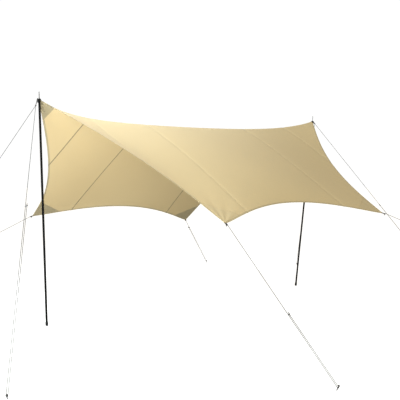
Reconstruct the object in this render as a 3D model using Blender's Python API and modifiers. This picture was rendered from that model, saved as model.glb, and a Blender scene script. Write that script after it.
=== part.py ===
"""Camping tarp: a six-cornered sheet over two poles, held out by guy lines and ground pegs.

Metres, +Z up. +X runs along the ridge from the near pole to the far pole, and -Y is the side that
faces the camera in the photo. The origin is on the ground, in the middle of what the pegs span.
"""

import math

import bmesh
import bpy
from mathutils import Matrix, Vector

# Driving dimensions: the sheet's six corners as it is pitched
NEAR_TOP = Vector((-2.27, 0, 2.385))
FAR_TOP = Vector((2.26, 0, 2.385))
NEAR_FRONT = Vector((-1.32, -1.80, 1.133))
FAR_FRONT = Vector((1.336, -1.805, 1.137))
NEAR_BACK = Vector((-1.335, 1.79, 1.056))
FAR_BACK = Vector((1.345, 1.775, 0.896))

# How far each edge's middle hangs in from the straight line between its corners
EDGE_SAG = {
    "near_front": Vector((0.166, 0.016, -0.005)),
    "near_back": Vector((0.227, 0.100, -0.120)),
    "far_front": Vector((-0.209, 0.019, -0.035)),
    "far_back": Vector((-0.223, 0.016, 0.002)),
    "front": Vector((0.0, 0.288, 0.157)),
    "back": Vector((-0.029, -0.303, 0.181)),
}
EDGE_POWER = 1.2               # over 1, an edge leaves its corners straighter
CORNER_SHARE = 0.08            # of an edge, over which its direction at a corner is read
RIDGE_SAG = 0.208
RIDGE_STEEPNESS = (11.7, 5.8)  # how fast the ridge drops from the near top and from the far top
RIDGE_ROUNDING = 0.09          # share of the half width that is rounded over the ridge
BULGE = 0.095                  # how far the middle of each half stands above a straight line
SHEET_THICKNESS = 0.003
CELLS_ALONG = 40
CELLS_ACROSS = 32
END_CROWDING = 0.75            # how much smaller the cells are toward the two poles
CORNER_CLEAR = 0.004           # how far in from a corner its slope is read, as a share of the sheet
GAP = 0.0003                   # between solids that touch
SEWN_GAP = 0.0006
STRAP_GAP = 0.0008             # the sheet is curved under the flat straps

PATCH_THICKNESS = 0.002
PATCH_LEG = 0.33               # along both edges from a low corner
PATCH_HALF_ANGLE = math.radians(30)
TOP_PATCH_REACH = 0.19         # along the ridge from a top corner
LOW_TRIM = 0.010               # cut off each low corner's sharp tip
TOP_TRIM = 0.024               # cut off beside each spike

STRAP_WIDTH = 0.024
STRAP_THICKNESS = 0.004
STRAP_HEIGHT = SHEET_THICKNESS / 2 + STRAP_GAP + STRAP_THICKNESS / 2
STRAP_ON_SHEET = 0.018         # from a low corner into the sheet
LOW_STRAP_OUT = 0.037
TOP_STRAP_ON_SHEET = (0.032, 0.0225)  # where a top strap starts, and where it leaves the sheet
TOP_STRAP_IN = 0.013           # the flat stretch of a top strap, each way from the spike
TOP_STRAP_OUT = 0.0132
TOP_STRAP_HANG = 0.0158        # from the pole's axis to the strap's end, which hangs outside the pole
TOP_STRAP_TAIL = {"near": 0.035, "far": 0.058}
EYELET_FROM_END = 0.011
EYELET_RADIUS = 0.0045

POLE_RADIUS = 0.012
POLE_SECTIONS = 4
FOOT_RADIUS = 0.015
FOOT_HEIGHT = 0.045
SPIKE_RADIUS = 0.004
SPIKE_LENGTH = 0.080
SPIKE_HOLE_RADIUS = SPIKE_RADIUS + 3 * GAP
# Where each pole stands and where its tube ends, (x, y, z)
POLES = {
    "near": (Vector((-2.194, 0, 0)), Vector((-2.264, 0, 2.383))),
    "far": (Vector((1.901, 0, 0)), Vector((2.264, 0, 2.383))),
}

ROPE_RADIUS = 0.0025
KNOT = 2.2                     # a knot's thickness over the rope's
TOP_KNOT_RADIUS = 0.008
# Each top guy's knot: outward from the pole's top, and down from it
TOP_KNOTS = {"near": (0.042, 0.066), "far": (0.056, 0.018)}
LOOP_START = 0.003             # each side of the loop leaves the knot this far from its middle
SPIKE_TURN_RADIUS = SPIKE_RADIUS + ROPE_RADIUS + GAP
SPIKE_TURN_HEIGHT = 0.006      # of the rope round the spike, above the strap
# One side of the top loop from its knot to the spike: away from the sheet, sideways, up the pole
TOP_LOOP = ((0.021, 0.0055, 0.0), (0.016, SPIKE_TURN_RADIUS, 0.005))
# A low guy's knotted end under its strap: how far under the eyelet, and the rope's thickness there
LOW_END = ((0.0125, 1), (0.0108, KNOT), (0.0076, KNOT), (0.0058, 1), (0.0, 1))
# A low guy over its strap: outward from the eyelet, and above it
LOW_TURN = ((0.0, 0.0025), (0.0014, 0.0046), (0.004, 0.0053))
# The rope's end above its runner: how far past the runner's edge, and its thickness there
RUNNER_END = ((0.0008, 1), (0.0026, KNOT), (0.0060, KNOT), (0.0078, 1), (0.0160, 1))

PEG_RADIUS = 0.004
PEG_HEAD_RADIUS = 0.009
PEG_HEAD_HEIGHT = 0.006
PEG_HEAD_ROUNDING = 0.001
PEG_BELOW = 0.020              # under the ground, before the peg is cut level with it
PEG_HOLD = 0.028               # how far up the peg, from the ground, the rope holds it
PEG_TOP = 0.014                # from the rope up to the head
TURN_RADIUS = PEG_RADIUS + ROPE_RADIUS + GAP

RUNNER_SIZE = (0.030, 0.010, 0.004)
RUNNER_SPAN = 0.013            # between the runner's two rope holes
RUNNER_TILT = math.radians(30)
RUNNER_HOLE_RADIUS = 0.0032

# Each guy's ground peg and how far its runner is from the guy's upper end
TOP_GUYS = {
    "near": {"front": (Vector((-3.70, -2.00, 0)), 1.47), "back": (Vector((-3.10, 1.75, 0)), 1.40)},
    "far": {"front": (Vector((3.57, -1.325, 0)), 1.54), "back": (Vector((3.691, 1.45, 0)), 1.50)},
}
LOW_GUYS = {
    "near_front": (Vector((-1.816, -3.465, 0)), 1.26),
    "far_front": (Vector((3.15, -3.70, 0)), 1.60),
    "near_back": (Vector((-2.42, 3.694, 0)), 0.90),
    "far_back": (Vector((2.808, 2.852, 0)), 0.32),
}

LOW_CORNERS = {
    "near_front": NEAR_FRONT,
    "far_front": FAR_FRONT,
    "near_back": NEAR_BACK,
    "far_back": FAR_BACK,
}
TOP_CORNERS = {"near_top": NEAR_TOP, "far_top": FAR_TOP}
UP = Vector((0, 0, 1))


def start_scene():
    """Empty the scene and make the collections for the pieces and for the cutters."""
    for found in list(bpy.data.objects):
        bpy.data.objects.remove(found, do_unlink=True)
    for name in ("Camping_tarp", "Cutters"):
        bpy.context.scene.collection.children.link(bpy.data.collections.new(name))


def material(name, colour, roughness, metallic=0.0):
    made = bpy.data.materials.new(name)
    made.use_nodes = True
    shader = made.node_tree.nodes["Principled BSDF"]
    shader.inputs["Base Color"].default_value = (*colour, 1)
    shader.inputs["Roughness"].default_value = roughness
    shader.inputs["Metallic"].default_value = metallic
    made.diffuse_color = (*colour, 1)
    return made


def keep(name, data, finish, collection="Camping_tarp"):
    """Link a mesh or curve as a named object with its material."""
    made = bpy.data.objects.new(name, data)
    bpy.data.collections[collection].objects.link(made)
    if finish:
        data.materials.append(finish)
    return made


def keep_bmesh(name, shape, finish, collection="Camping_tarp"):
    mesh = bpy.data.meshes.new(name)
    shape.to_mesh(mesh)
    shape.free()
    return keep(name, mesh, finish, collection)


def edge_arc(start, end, sag, part):
    return start.lerp(end, part) + sag * (4 * part * (1 - part)) ** EDGE_POWER


def ridge_drop(s):
    near, far = RIDGE_STEEPNESS
    return RIDGE_SAG * (1 - math.exp(-near * s)) * (1 - math.exp(-far * (1 - s)))


def sheet_point(s, t):
    """The sheet's middle at s along the ridge (0 to 1) and t across it (-1 front, 1 back)."""
    side = "front" if t < 0 else "back"
    near_low = LOW_CORNERS["near_" + side]
    far_low = LOW_CORNERS["far_" + side]
    rounding = RIDGE_ROUNDING * 4 * s * (1 - s)
    w = (math.hypot(t, rounding) - rounding) / (math.hypot(1, rounding) - rounding)
    ridge = NEAR_TOP.lerp(FAR_TOP, s) - UP * ridge_drop(s)
    low = edge_arc(near_low, far_low, EDGE_SAG[side], s)
    near = edge_arc(NEAR_TOP, near_low, EDGE_SAG["near_" + side], w)
    far = edge_arc(FAR_TOP, far_low, EDGE_SAG["far_" + side], w)
    flat = NEAR_TOP.lerp(FAR_TOP, s).lerp(near_low.lerp(far_low, s), w)
    return ridge.lerp(low, w) + near.lerp(far, s) - flat + UP * BULGE * 16 * w * (1 - w) * s * (1 - s)


def sheet_mesh(drop=0.0):
    """The whole sheet as an open grid, moved down square to itself by drop."""
    shape = bmesh.new()
    bmesh.ops.create_grid(shape, x_segments=CELLS_ALONG, y_segments=CELLS_ACROSS, size=1)
    for vertex in shape.verts:
        along = (vertex.co.x + 1) / 2
        crowded = along - END_CROWDING * math.sin(math.tau * along) / math.tau
        vertex.co = sheet_point(crowded, vertex.co.y)
    bmesh.ops.triangulate(shape, faces=shape.faces, quad_method="FIXED")
    shape.normal_update()
    moved = [vertex.co - vertex.normal * vertex.calc_shell_factor() * drop for vertex in shape.verts]
    for vertex, place in zip(shape.verts, moved):
        vertex.co = place
    return shape


def cut(shape, point, normal, inner=False, outer=False):
    geometry = [*shape.verts, *shape.edges, *shape.faces]
    bmesh.ops.bisect_plane(
        shape, geom=geometry, dist=1e-6, plane_co=point, plane_no=normal,
        clear_inner=inner, clear_outer=outer,
    )


def inward(corner):
    """The direction from a corner into the sheet, halfway between its two edges."""
    if corner in TOP_CORNERS:
        return Vector((1 if corner == "near_top" else -1, 0, 0))
    side = corner.split("_")[1]
    top = TOP_CORNERS[corner.split("_")[0] + "_top"]
    other = LOW_CORNERS[("far_" if corner.startswith("near") else "near_") + side]
    here = LOW_CORNERS[corner]
    up_edge = edge_arc(here, top, EDGE_SAG[corner], CORNER_SHARE) - here
    low_edge = edge_arc(here, other, EDGE_SAG[side], CORNER_SHARE) - here
    return (up_edge.normalized() + low_edge.normalized()).normalized()


def corner_point(corner):
    return TOP_CORNERS.get(corner) or LOW_CORNERS[corner]


def trim_tips(shape):
    for corner in (*TOP_CORNERS, *LOW_CORNERS):
        trim = TOP_TRIM if corner in TOP_CORNERS else LOW_TRIM
        direction = inward(corner)
        cut(shape, corner_point(corner) + direction * trim, direction, inner=True)


def thicken(made, thickness):
    solid = made.modifiers.new("Thickness", "SOLIDIFY")
    solid.thickness = thickness
    solid.offset = 0
    solid.use_even_offset = True


def build_canopy(fabric):
    shape = sheet_mesh()
    trim_tips(shape)
    thicken(keep_bmesh("canopy", shape, fabric), SHEET_THICKNESS)


def patch_reach(corner):
    if corner in TOP_CORNERS:
        return TOP_PATCH_REACH
    return PATCH_LEG * math.cos(PATCH_HALF_ANGLE)


def build_patches(fabric):
    """A second layer of fabric sewn under each corner."""
    drop = SHEET_THICKNESS / 2 + SEWN_GAP + PATCH_THICKNESS / 2
    for corner in (*TOP_CORNERS, *LOW_CORNERS):
        shape = sheet_mesh(drop)
        trim_tips(shape)
        direction = inward(corner)
        cut(shape, corner_point(corner) + direction * patch_reach(corner), direction, outer=True)
        thicken(keep_bmesh("patch_" + corner, shape, fabric), PATCH_THICKNESS)


def strap(name, points, sideways, finish):
    """A strip of webbing through points, as wide as STRAP_WIDTH along sideways."""
    shape = bmesh.new()
    bmesh.ops.create_grid(shape, x_segments=len(points) - 1, y_segments=1, size=1)
    for vertex in shape.verts:
        place = points[round((vertex.co.x + 1) / 2 * (len(points) - 1))]
        vertex.co = place + sideways * vertex.co.y * STRAP_WIDTH / 2
    made = keep_bmesh(name, shape, finish)
    thicken(made, STRAP_THICKNESS)
    return made


def cylinder(name, start, end, radius, finish=None, sides=24, collection="Camping_tarp"):
    shape = bmesh.new()
    bmesh.ops.create_cone(
        shape, cap_ends=True, segments=sides, radius1=radius, radius2=radius, depth=(end - start).length
    )
    turn = (end - start).to_track_quat("Z", "Y").to_matrix().to_4x4()
    shape.transform(Matrix.Translation((start + end) / 2) @ turn)
    return keep_bmesh(name, shape, finish, collection)


def bore(made, centre, direction, radius, length=0.05):
    """Cut a round hole through a piece."""
    half = direction.normalized() * length / 2
    tool = cylinder(made.name + "_bore", centre - half, centre + half, radius, sides=20, collection="Cutters")
    tool.hide_render = True
    tool.display_type = "WIRE"
    hole = made.modifiers.new("Hole", "BOOLEAN")
    hole.operation = "DIFFERENCE"
    hole.solver = "EXACT"
    hole.object = tool


def pole_frame(which):
    """A pole's top, its axis, and the direction square to it that points away from the sheet."""
    foot, top = POLES[which]
    axis = (top - foot).normalized()
    away = Vector((-1 if which == "near" else 1, 0, 0))
    return top, axis, (away - axis * away.dot(axis)).normalized()


def above_sheet(s, t, height):
    """A point at height above the sheet's middle surface, square to it."""
    step = CORNER_CLEAR / 2
    along = sheet_point(min(s + step, 1), t) - sheet_point(max(s - step, 0), t)
    across = sheet_point(s, min(t + step, 1)) - sheet_point(s, max(t - step, -1))
    return sheet_point(s, t) + along.cross(across).normalized() * height


def build_top_straps(webbing):
    """Each strap lies on the sheet's end, goes over its pole's spike and hangs down outside the pole."""
    ridge = (FAR_TOP - NEAR_TOP).length
    for which, end in (("near", 0), ("far", 1)):
        top, axis, away = pole_frame(which)
        seat = top + axis * (GAP + STRAP_THICKNESS / 2)
        inner = [abs(end - reach / ridge) for reach in TOP_STRAP_ON_SHEET]
        points = [above_sheet(s, 0, STRAP_HEIGHT) for s in inner]
        hang = seat + away * TOP_STRAP_HANG
        points += [seat - away * TOP_STRAP_IN, seat + away * TOP_STRAP_OUT]
        points += [hang - axis * (TOP_STRAP_HANG - TOP_STRAP_OUT), hang - axis * TOP_STRAP_TAIL[which]]
        made = strap("strap_%s_top" % which, points, Vector((0, -1 if which == "near" else 1, 0)), webbing)
        bore(made, seat, axis, SPIKE_HOLE_RADIUS)


def guy_frame(start, peg):
    """A guy's direction, its sideways direction, and the lean of its peg."""
    direction = (peg + UP * PEG_HOLD - start).normalized()
    sideways = direction.cross(UP).normalized()
    return direction, sideways, sideways.cross(direction)


def low_strap_frame(corner):
    """A low strap's outward direction and the direction square to its face."""
    here = LOW_CORNERS[corner]
    outward = guy_frame(here, LOW_GUYS[corner][0])[0]
    s = CORNER_CLEAR if corner.startswith("near") else 1 - CORNER_CLEAR
    t = CORNER_CLEAR - 1 if corner.endswith("front") else 1 - CORNER_CLEAR
    normal = above_sheet(s, t, 1) - sheet_point(s, t)
    return outward, (normal - outward * normal.dot(outward)).normalized()


def build_low_straps(webbing):
    for corner, here in LOW_CORNERS.items():
        outward, normal = low_strap_frame(corner)
        seat = here + normal * STRAP_HEIGHT
        points = [seat + inward(corner) * STRAP_ON_SHEET, seat, seat + outward * LOW_STRAP_OUT]
        made = strap("strap_" + corner, points, outward.cross(normal), webbing)
        bore(made, eyelet(corner), normal, EYELET_RADIUS)


def eyelet(corner):
    outward, normal = low_strap_frame(corner)
    return LOW_CORNERS[corner] + normal * STRAP_HEIGHT + outward * (LOW_STRAP_OUT - EYELET_FROM_END)


def build_pole(which, paint, rubber, steel):
    foot, top = POLES[which]
    axis = (top - foot).normalized()
    shape = bmesh.new()
    bmesh.ops.create_cone(
        shape, cap_ends=True, segments=32, radius1=FOOT_RADIUS, radius2=FOOT_RADIUS, depth=2 * FOOT_HEIGHT
    )
    shape.transform(Matrix.Translation(foot) @ axis.to_track_quat("Z", "Y").to_matrix().to_4x4())
    cut(shape, Vector(), UP, inner=True)
    bmesh.ops.holes_fill(shape, edges=[edge for edge in shape.edges if edge.is_boundary])
    keep_bmesh("pole_%s_foot" % which, shape, rubber)
    start = foot + axis * FOOT_HEIGHT
    length = (top - start).length / POLE_SECTIONS
    for number in range(POLE_SECTIONS):
        low = start + axis * (length * number + GAP)
        name = "pole_%s_section_%d" % (which, number + 1)
        cylinder(name, low, start + axis * length * (number + 1), POLE_RADIUS, paint)
    cylinder("pole_%s_spike" % which, top + axis * GAP, top + axis * SPIKE_LENGTH, SPIKE_RADIUS, steel)


def tube(name, points, finish, thickness=None):
    """A rope through points. thickness has a factor for each point."""
    curve = bpy.data.curves.new(name, "CURVE")
    curve.dimensions = "3D"
    curve.bevel_depth = ROPE_RADIUS
    curve.bevel_resolution = 2
    curve.use_fill_caps = True
    line = curve.splines.new("POLY")
    line.points.add(len(points) - 1)
    for index, place in enumerate(points):
        line.points[index].co = (*place, 1)
        line.points[index].radius = thickness[index] if thickness else 1
    return keep(name, curve, finish)


def peg_hold(start, peg):
    """The point on a peg's axis that the rope goes round."""
    lean = guy_frame(start, peg)[2]
    return peg + lean * PEG_HOLD / lean.z


def runner_places(start, peg, distance):
    """Where the guy and its returning leg pass through the runner."""
    sideways = guy_frame(start, peg)[1]
    tangent = peg_hold(start, peg) + sideways * TURN_RADIUS
    there = start + (tangent - start).normalized() * distance
    return there, there - sideways * RUNNER_SPAN


def lower_leg(start, peg, distance):
    """Rope points and thicknesses from start, round the peg, to the end knot above the runner."""
    direction, sideways, _ = guy_frame(start, peg)
    hold = peg_hold(start, peg)
    turns = [math.pi * step / 8 for step in range(9)]
    points = [start]
    points += [hold + (sideways * math.cos(a) + direction * math.sin(a)) * TURN_RADIUS for a in turns]
    back = runner_places(start, peg, distance)[1]
    up = (back - points[-1]).normalized()
    clear = RUNNER_SPAN / 2 * math.tan(RUNNER_TILT) + RUNNER_SIZE[2]
    thickness = [1] * len(points) + [factor for _, factor in RUNNER_END]
    points += [back + up * (clear + step) for step, _ in RUNNER_END]
    return points, thickness


def build_runner(name, start, peg, distance, metal):
    direction, sideways, lean = guy_frame(start, peg)
    holes = runner_places(start, peg, distance)
    long_way = sideways * math.cos(RUNNER_TILT) + direction * math.sin(RUNNER_TILT)
    shape = bmesh.new()
    bmesh.ops.create_cube(shape, size=1, matrix=Matrix.Diagonal((*RUNNER_SIZE, 1)))
    turn = Matrix((long_way, lean, long_way.cross(lean))).transposed().to_4x4()
    shape.transform(Matrix.Translation((holes[0] + holes[1]) / 2) @ turn)
    made = keep_bmesh(name, shape, metal)
    for place in holes:
        bore(made, place, direction, RUNNER_HOLE_RADIUS)


def build_peg(name, start, peg, steel):
    """The part of a peg that stands above the ground, cut level with it."""
    lean = guy_frame(start, peg)[2]
    foot = peg - lean * PEG_BELOW
    neck = (peg_hold(start, peg) + lean * PEG_TOP - foot).length
    head = neck + PEG_HEAD_HEIGHT
    profile = [(0, 0), (PEG_RADIUS, 0), (PEG_RADIUS, neck), (PEG_HEAD_RADIUS, neck + PEG_HEAD_ROUNDING)]
    profile += [(PEG_HEAD_RADIUS, head - PEG_HEAD_ROUNDING), (PEG_RADIUS, head), (0, head)]
    shape = bmesh.new()
    line = [shape.verts.new((radius, 0, height)) for radius, height in profile]
    edges = [shape.edges.new(pair) for pair in zip(line, line[1:])]
    bmesh.ops.spin(
        shape, geom=[*line, *edges], cent=(0, 0, 0), axis=(0, 0, 1), angle=math.tau, steps=20, use_merge=True
    )
    bmesh.ops.remove_doubles(shape, verts=shape.verts, dist=1e-6)
    shape.transform(Matrix.Translation(foot) @ lean.to_track_quat("Z", "Y").to_matrix().to_4x4())
    cut(shape, Vector(), UP, inner=True)
    bmesh.ops.holes_fill(shape, edges=[edge for edge in shape.edges if edge.is_boundary])
    bmesh.ops.recalc_face_normals(shape, faces=shape.faces)
    keep_bmesh(name, shape, steel)


def join(made, curve):
    """Make one body of a piece and a tube that starts in it."""
    other = keep(curve.name + "_joined", bpy.data.meshes.new_from_object(curve), None, "Cutters")
    bpy.data.objects.remove(curve)
    other.hide_render = True
    other.display_type = "WIRE"
    union = made.modifiers.new("Union", "BOOLEAN")
    union.operation = "UNION"
    union.solver = "EXACT"
    union.object = other


def top_knot(which):
    """The middle of the knot that ends a top guy's loop."""
    top, _, away = pole_frame(which)
    out, drop = TOP_KNOTS[which]
    return top + away * out - UP * drop


def build_top_loop(which, cord):
    """A loop over the spike, ending in the knot that the two legs leave."""
    top, axis, away = pole_frame(which)
    seat = top + axis * (GAP + STRAP_THICKNESS)
    knot = top_knot(which)
    side = Vector((0, 1, 0))
    half = [knot + side * LOOP_START]
    half += [seat + away * out + side * aside + axis * up for out, aside, up in TOP_LOOP]
    turn = seat + axis * SPIKE_TURN_HEIGHT
    angles = [math.pi * step / 8 for step in range(9)]
    around = [turn + (side * math.cos(a) - away * math.sin(a)) * SPIKE_TURN_RADIUS for a in angles]
    mirrored = [Vector((place.x, -place.y, place.z)) for place in reversed(half)]
    loop = tube("guy_%s_top_loop" % which, half + around + mirrored, cord)

    ball = bmesh.new()
    bmesh.ops.create_uvsphere(ball, u_segments=16, v_segments=10, radius=TOP_KNOT_RADIUS)
    ball.transform(Matrix.Translation(knot))
    join(keep_bmesh("guy_%s_top" % which, ball, cord), loop)


def build_top_legs(which, cord, metal, steel):
    """The two legs of a top guy, each from the knot to its own peg."""
    knot = top_knot(which)
    for side, (peg, distance) in TOP_GUYS[which].items():
        name = "%s_top_%s" % (which, side)
        points, thickness = lower_leg(knot, peg, distance)
        points[0] = knot + (points[1] - knot).normalized() * (TOP_KNOT_RADIUS + GAP)
        tube("guy_" + name, points, cord, thickness)
        build_runner("runner_" + name, knot, peg, distance, metal)
        build_peg("peg_" + name, knot, peg, steel)


def build_low_guy(corner, cord, metal, steel):
    """A line through the strap's eyelet, with a knot below it."""
    peg, distance = LOW_GUYS[corner]
    outward, normal = low_strap_frame(corner)
    hole = eyelet(corner)
    first = [hole - normal * depth for depth, _ in LOW_END]
    first += [hole + outward * out + normal * height for out, height in LOW_TURN]
    start = first.pop()
    points, thickness = lower_leg(start, peg, distance)
    factors = [factor for _, factor in LOW_END] + [1] * (len(first) - len(LOW_END))
    tube("guy_" + corner, first + points, cord, factors + thickness)
    build_runner("runner_" + corner, start, peg, distance, metal)
    build_peg("peg_" + corner, start, peg, steel)


def main():
    start_scene()
    fabric = material("canopy_fabric", (0.75, 0.60, 0.36), 0.8)
    patch_fabric = material("patch_fabric", (0.62, 0.49, 0.28), 0.8)
    webbing = material("black_webbing", (0.015, 0.015, 0.016), 0.75)
    paint = material("black_painted_steel", (0.012, 0.012, 0.013), 0.35)
    rubber = material("black_rubber", (0.02, 0.02, 0.02), 0.85)
    steel = material("steel", (0.45, 0.45, 0.46), 0.3, 1.0)
    peg_steel = material("black_peg_steel", (0.03, 0.03, 0.032), 0.45, 0.6)
    cord = material("pale_grey_cord", (0.62, 0.62, 0.60), 0.8)
    alloy = material("grey_alloy", (0.36, 0.36, 0.37), 0.4, 1.0)

    build_canopy(fabric)
    build_patches(patch_fabric)
    build_top_straps(webbing)
    build_low_straps(webbing)
    for which in POLES:
        build_pole(which, paint, rubber, steel)
        build_top_loop(which, cord)
        build_top_legs(which, cord, alloy, peg_steel)
    for corner in LOW_CORNERS:
        build_low_guy(corner, cord, alloy, peg_steel)


main()
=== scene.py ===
# %% [markdown]
# # A camping tarp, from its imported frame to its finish
#
# The tarp is one sheet of coated polyester with six corners. Two corners hang from ridge poles and the
# other four are pulled out and down by guy lines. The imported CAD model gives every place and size. This
# script keeps those places and builds the thin cloth, the sewing, the webbing, the cords and the metal.

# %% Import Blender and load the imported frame
import math

import bpy
from mathutils import Matrix, Vector
from mathutils.bvhtree import BVHTree


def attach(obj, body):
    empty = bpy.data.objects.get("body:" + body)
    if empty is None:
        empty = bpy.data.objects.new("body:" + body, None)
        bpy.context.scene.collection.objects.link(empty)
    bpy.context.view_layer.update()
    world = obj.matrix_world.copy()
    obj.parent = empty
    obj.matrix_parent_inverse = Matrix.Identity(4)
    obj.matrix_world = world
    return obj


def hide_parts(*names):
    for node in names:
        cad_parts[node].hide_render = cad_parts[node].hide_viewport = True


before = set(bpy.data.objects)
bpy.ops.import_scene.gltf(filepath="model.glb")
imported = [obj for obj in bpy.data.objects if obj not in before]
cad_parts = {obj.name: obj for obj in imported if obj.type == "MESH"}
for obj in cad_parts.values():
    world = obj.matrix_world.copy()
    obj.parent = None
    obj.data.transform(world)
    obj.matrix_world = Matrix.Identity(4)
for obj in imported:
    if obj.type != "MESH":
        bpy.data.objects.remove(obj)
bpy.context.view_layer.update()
print("The frame has", len(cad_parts), "CAD nodes")

# %% [markdown]
# ## Camera
#
# The photo was taken from eye height, to the left of the near pole. The camera's place, its small
# downward tilt and its lens were found by fitting the six corners and both pole feet.

# %% Place the camera
CAMERA_PLACE = (-6.113, -6.624, 1.585)
CAMERA_TURN = (math.radians(88.07), 0, math.radians(-42.77))
CAMERA_LENS = 64.39

bpy.ops.object.select_all(action="DESELECT")
bpy.ops.object.camera_add(location=CAMERA_PLACE, rotation=CAMERA_TURN)
camera = bpy.context.object
camera.data.lens = CAMERA_LENS
camera.data.clip_end = 500
bpy.context.scene.camera = camera
print("The camera stands", CAMERA_PLACE[2], "m over the floor")

# %% [markdown]
# ## Node helpers
#
# All finishes are node materials. Small helpers keep the node code short: one fills a socket with a
# number or a link, the next ones add nodes, and another starts a material and hands back its shader.


# %% Write the helpers for node trees
def fill(tree, socket, value):
    """Link another node's output to a socket, or set the socket to a plain value."""
    if isinstance(value, bpy.types.NodeSocket):
        tree.links.new(value, socket)
    else:
        socket.default_value = value


def add_node(tree, kind, settings=None, **sockets):
    """Add a node, set its properties, and set or link its inputs by name."""
    node = tree.nodes.new(kind)
    for key, value in (settings or {}).items():
        setattr(node, key, value)
    for key, value in sockets.items():
        fill(tree, node.inputs[key.replace("_", " ")], value)
    return node


def math_node(tree, operation, first, second=0.5):
    """One sum of two numbers or sockets."""
    node = tree.nodes.new("ShaderNodeMath")
    node.operation = operation
    for socket, value in zip(node.inputs, (first, second)):
        fill(tree, socket, value)
    return node.outputs[0]


def new_material(name):
    """Start a material and return it with its node tree and its main shader."""
    made = bpy.data.materials.new(name)
    made.use_nodes = True
    return made, made.node_tree, made.node_tree.nodes["Principled BSDF"]


def blend_colours(tree, share, first, second):
    """Mix two colours by a number from 0 to 1."""
    mix = add_node(tree, "ShaderNodeMix", {"data_type": "RGBA"})
    for socket, value in ((mix.inputs[0], share), (mix.inputs[6], first), (mix.inputs[7], second)):
        fill(tree, socket, value)
    return mix.outputs[2]


def shade(colour, factor):
    """A colour made lighter or darker, with its alpha."""
    return (*(min(part * factor, 1) for part in colour[:3]), 1)


# %% [markdown]
# ## Studio
#
# A plain white floor and a white backdrop stand in for the studio. Both are seen by the camera only, so
# that the cloth is lit by the soft sky and the large lamps alone, and its shading stays readable. The
# third lamp shines from below through the floor, and stands in for the light that a floor throws up.

# %% Make the floor and the backdrop
FLOOR_RADIUS = 90
BACKDROP_RADIUS = 120
FLOOR_GLOW = 1.0
BACKDROP_GLOW = 1.02
FLOOR_COLOUR = (0.25, 0.25, 0.25, 1)


def seen_only(thing):
    """Keep a stage piece out of the light that reaches the object."""
    for ray in ("diffuse", "glossy", "transmission", "volume_scatter", "shadow"):
        setattr(thing, "visible_" + ray, False)


bpy.ops.object.select_all(action="DESELECT")
bpy.ops.mesh.primitive_circle_add(vertices=96, radius=FLOOR_RADIUS, fill_type="NGON")
floor = bpy.context.object
floor.name = "floor"
floor_paint, tree, shader = new_material("white_floor")
shader.inputs["Base Color"].default_value = FLOOR_COLOUR
shader.inputs["Roughness"].default_value = 1
shader.inputs["Emission Color"].default_value = (1, 1, 1, 1)
shader.inputs["Emission Strength"].default_value = FLOOR_GLOW
floor.data.materials.append(floor_paint)
seen_only(floor)

bpy.ops.object.select_all(action="DESELECT")
bpy.ops.mesh.primitive_uv_sphere_add(segments=48, ring_count=24, radius=BACKDROP_RADIUS)
backdrop = bpy.context.object
backdrop.name = "backdrop"
white_glow, tree, shader = new_material("white_backdrop")
shader.inputs["Base Color"].default_value = (0, 0, 0, 1)
shader.inputs["Emission Color"].default_value = (1, 1, 1, 1)
shader.inputs["Emission Strength"].default_value = BACKDROP_GLOW
backdrop.data.materials.append(white_glow)
seen_only(backdrop)
print("The stage has", floor.name, "and", backdrop.name)

# %% Light the studio
SKY = (0.42, 0.33, 0.17, 1)
GROUND_BOUNCE = (0.27, 0.25, 0.16, 1)
# Each lamp: its place, the point it faces, its size, its power in watts and its colour
LAMPS = {
    "front": ((-7.0, -5.5, 2.0), (-0.5, 0.0, 1.6), 3.0, 800, (0.96, 1.0, 0.92)),
    "back": ((-4.0, 1.5, 5.0), (-1.0, 0.0, 2.0), 3.0, 800, (0.92, 1.0, 1.06)),
    "floor_bounce": ((-4.6, -2.4, -1.3), (-1.0, 0.8, 1.8), 3.0, 295, (0.92, 1.0, 1.15)),
}

world = bpy.data.worlds.new("studio")
bpy.context.scene.world = world
world.use_nodes = True
tree = world.node_tree
direction = add_node(tree, "ShaderNodeTexCoord").outputs["Generated"]
height = add_node(tree, "ShaderNodeSeparateXYZ", Vector=direction).outputs["Z"]
rise = add_node(tree, "ShaderNodeMapRange", Value=height, From_Min=-0.35, From_Max=0.45).outputs["Result"]
tree.links.new(blend_colours(tree, rise, GROUND_BOUNCE, SKY), tree.nodes["Background"].inputs["Color"])

for name, (place, target, size, power, colour) in LAMPS.items():
    bpy.ops.object.light_add(type="AREA", location=place)
    lamp = bpy.context.object
    lamp.name = name
    lamp.data.size = size
    lamp.data.energy = power
    lamp.data.color = colour
    lamp.visible_camera = False
    lamp.rotation_euler = (Vector(target) - Vector(place)).to_track_quat("-Z", "Y").to_euler()
bpy.context.scene.view_settings.view_transform = "Standard"
print("Lamps:", ", ".join(LAMPS))

# %% [markdown]
# ## The sheet's shape
#
# The sheet is stretched between six corners. Each edge hangs in as a shallow arc, the ridge dips
# between the poles, and each half bulges a little. Blending the four arcs round each half gives the
# whole surface from a few sizes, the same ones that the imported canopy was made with.

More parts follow.
